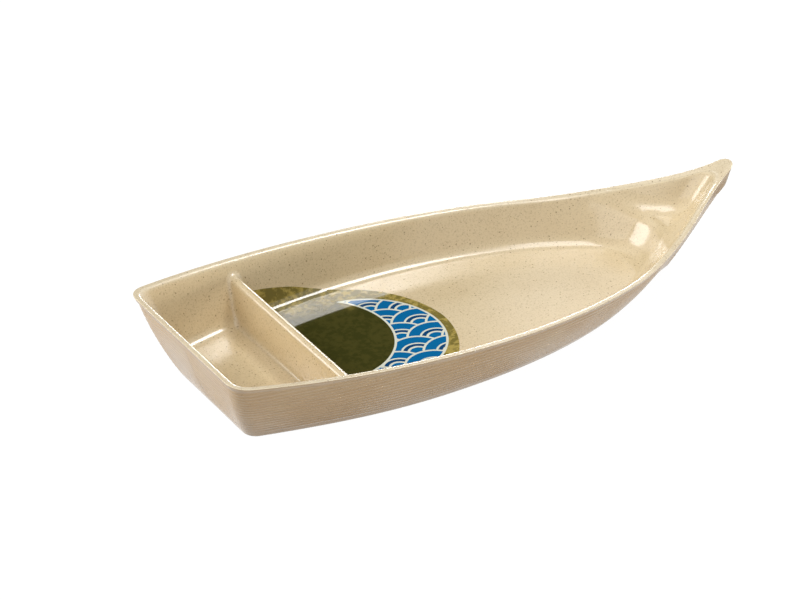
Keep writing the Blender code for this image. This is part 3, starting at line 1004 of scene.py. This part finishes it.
class BOATPLATE_OT_print(Operator):
    """Build the printed foil, lying on the floor and running up the sides"""
    bl_idname = "boatplate.print"
    bl_label = "Printed foil"

    def execute(self, context):
        plate = context.scene.boat_plate
        look, lines = plate.print, HullLines(plate)
        ground = BVHTree.FromObject(bpy.data.objects["hull"], context.evaluated_depsgraph_get())
        down = Vector((0.0, 0.0, -1.0))

        def lie(x, y):
            spot, normal, _, _ = ground.ray_cast(Vector((x, y, plate.rim.bow_height)), down)
            return spot + normal * look.lift

        plan, middle = print_plan(plate, lines)
        rings = [[lie(x, y) for x, y in ring] for ring in plan]
        foil = add_object("print", ringed_mesh("print", lie(middle, 0.0), rings))
        solid = foil.modifiers.new("thickness", "SOLIDIFY")
        solid.thickness = look.thickness
        solid.offset = -1.0
        foil.data.materials.append(print_material(look, middle, look.station - lines.middle))
        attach(foil, BODY)
        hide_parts("print_foil")
        return {"FINISHED"}


def seen_directly(graph):
    """1 for rays that show the background: from the camera, in a gloss or through glass."""
    path = graph.add("ShaderNodeLightPath")
    seen = graph.out(path, "Is Camera Ray").math("MAXIMUM", graph.out(path, "Is Glossy Ray"))
    return seen.math("MAXIMUM", graph.out(path, "Is Transmission Ray"))


def floor_material(look):
    """White floor that stays white where it is seen, keeps the plate's shadow and is clear from below."""
    material, graph = new_material("floor")
    plain = graph.add("ShaderNodeBsdfDiffuse", None, {"Color": FLOOR_GREY})
    white = graph.add("ShaderNodeEmission", None, {"Color": WHITE, "Strength": FLOOR_GLOW})
    mixed = graph.add("ShaderNodeMixShader", None, {
        0: seen_directly(graph) * (1.0 - look.floor_shade), 1: graph.out(plain), 2: graph.out(white)})
    below = graph.out(graph.add("ShaderNodeNewGeometry"), "Backfacing")
    clear = graph.add("ShaderNodeBsdfTransparent")
    one_sided = graph.add("ShaderNodeMixShader", None, {
        0: below, 1: graph.out(mixed), 2: graph.out(clear)})
    graph.add("ShaderNodeOutputMaterial", None, {"Surface": graph.out(one_sided)})
    return material


def flag_material():
    """Black for the cards that the glaze reflects."""
    material, graph = new_material("flag")
    black = graph.add("ShaderNodeBsdfDiffuse", None, {"Color": BLACK})
    graph.add("ShaderNodeOutputMaterial", None, {"Surface": graph.out(black)})
    return material


def light_world(look):
    """Even light from all round, white where it is seen."""
    world = bpy.data.worlds.new("studio")
    world.use_nodes = True
    graph = Graph(world.node_tree)
    seen = seen_directly(graph)
    background = graph.add("ShaderNodeBackground", None, {
        "Color": WHITE, "Strength": look.ambient + (1.0 - look.ambient) * seen})
    graph.add("ShaderNodeOutputWorld", None, {"Surface": graph.out(background)})
    bpy.context.scene.world = world


def add_card(card, material):
    """A rectangle in the scene that faces a point."""
    place = Vector(card.place)
    facing = (Vector(card.target) - place).to_track_quat("Z", "Y")
    across, up = card.width / 2, card.height / 2
    corners = [(-across, -up), (across, -up), (across, up), (-across, up)]
    data = bpy.data.meshes.new(card.name)
    data.from_pydata([place + facing @ Vector((x, y, 0.0)) for x, y in corners], [], [(0, 1, 2, 3)])
    data.materials.append(material)
    return add_object(card.name, data)


def add_flag(card, material):
    """A card that shows in reflections alone and casts no shadow."""
    flag = add_card(card, material)
    flag.visible_camera = False
    flag.visible_diffuse = False
    flag.visible_shadow = False
    return flag


def stand_back(obj, point, back, distance):
    """Stands a lamp or the camera back from a point, facing it."""
    obj.location = point + back * distance
    obj.rotation_mode = "QUATERNION"
    obj.rotation_quaternion = back.to_track_quat("Z", "Y")


def add_lamp(lamp):
    """A soft rectangular lamp that lights a white card facing it, at the plate, to a level."""
    data = bpy.data.lights.new(lamp.name, "AREA")
    data.shape = "RECTANGLE"
    data.size, data.size_y = lamp.width, lamp.height
    data.energy = lamp.level * (math.pi * lamp.distance) ** 2
    stand_back(add_object(lamp.name, data), Vector(), Vector(lamp.direction).normalized(), lamp.distance)


class BOATPLATE_OT_stage(Operator):
    """Set the floor, the lights and the camera"""
    bl_idname = "boatplate.stage"
    bl_label = "Stage"

    def execute(self, context):
        look = context.scene.boat_plate.stage
        context.scene.view_settings.view_transform = "Standard"
        light_world(look)
        black = flag_material()
        floor = add_card(FLOOR, floor_material(look))
        flag = add_flag(FLAG, black)
        front_flag = add_flag(FRONT_FLAG, black)
        for lamp in LAMPS:
            add_lamp(lamp)
        self.add_camera(context, look)
        return {"FINISHED"}

    @staticmethod
    def add_camera(context, look):
        """Puts the camera at the stage's viewing angle."""
        data = bpy.data.cameras.new("camera")
        data.lens = look.lens
        data.clip_end = VIEW_END
        camera = add_object("camera", data)
        back = Vector((math.sin(look.azimuth) * math.cos(look.elevation),
                       -math.cos(look.azimuth) * math.cos(look.elevation),
                       math.sin(look.elevation)))
        stand_back(camera, Vector(look.aim), back, look.distance)
        context.scene.camera = camera


OPERATORS = (BOATPLATE_OT_hull, BOATPLATE_OT_print, BOATPLATE_OT_stage)


class BOATPLATE_PT_sidebar(Panel):
    """Lists the plate's pieces in the 3D view's sidebar."""
    bl_idname = "BOATPLATE_PT_sidebar"
    bl_label = "Boat Plate"
    bl_space_type = "VIEW_3D"
    bl_region_type = "UI"
    bl_category = "Boat Plate"

    def draw(self, context):
        for operator in OPERATORS:
            self.layout.operator(operator.bl_idname)


CLASSES = (RimSizes, FootSizes, WallSizes, DeckSizes, DividerSizes, GrainSizes, MelamineLook, PrintLook,
           StageLook, BoatPlate, *OPERATORS, BOATPLATE_PT_sidebar)


def register():
    """Adds the plate's settings, operators and panel to Blender."""
    for cls in CLASSES:
        bpy.utils.register_class(cls)
    bpy.types.Scene.boat_plate = PointerProperty(type=BoatPlate)


def unregister():
    """Takes the plate's settings, operators and panel out of Blender."""
    del bpy.types.Scene.boat_plate
    for cls in reversed(CLASSES):
        bpy.utils.unregister_class(cls)


def main():
    """Builds the plate and its stage."""
    register()
    bpy.ops.boatplate.hull()
    bpy.ops.boatplate.print()
    bpy.ops.boatplate.stage()


if __name__ == "__main__":
    main()
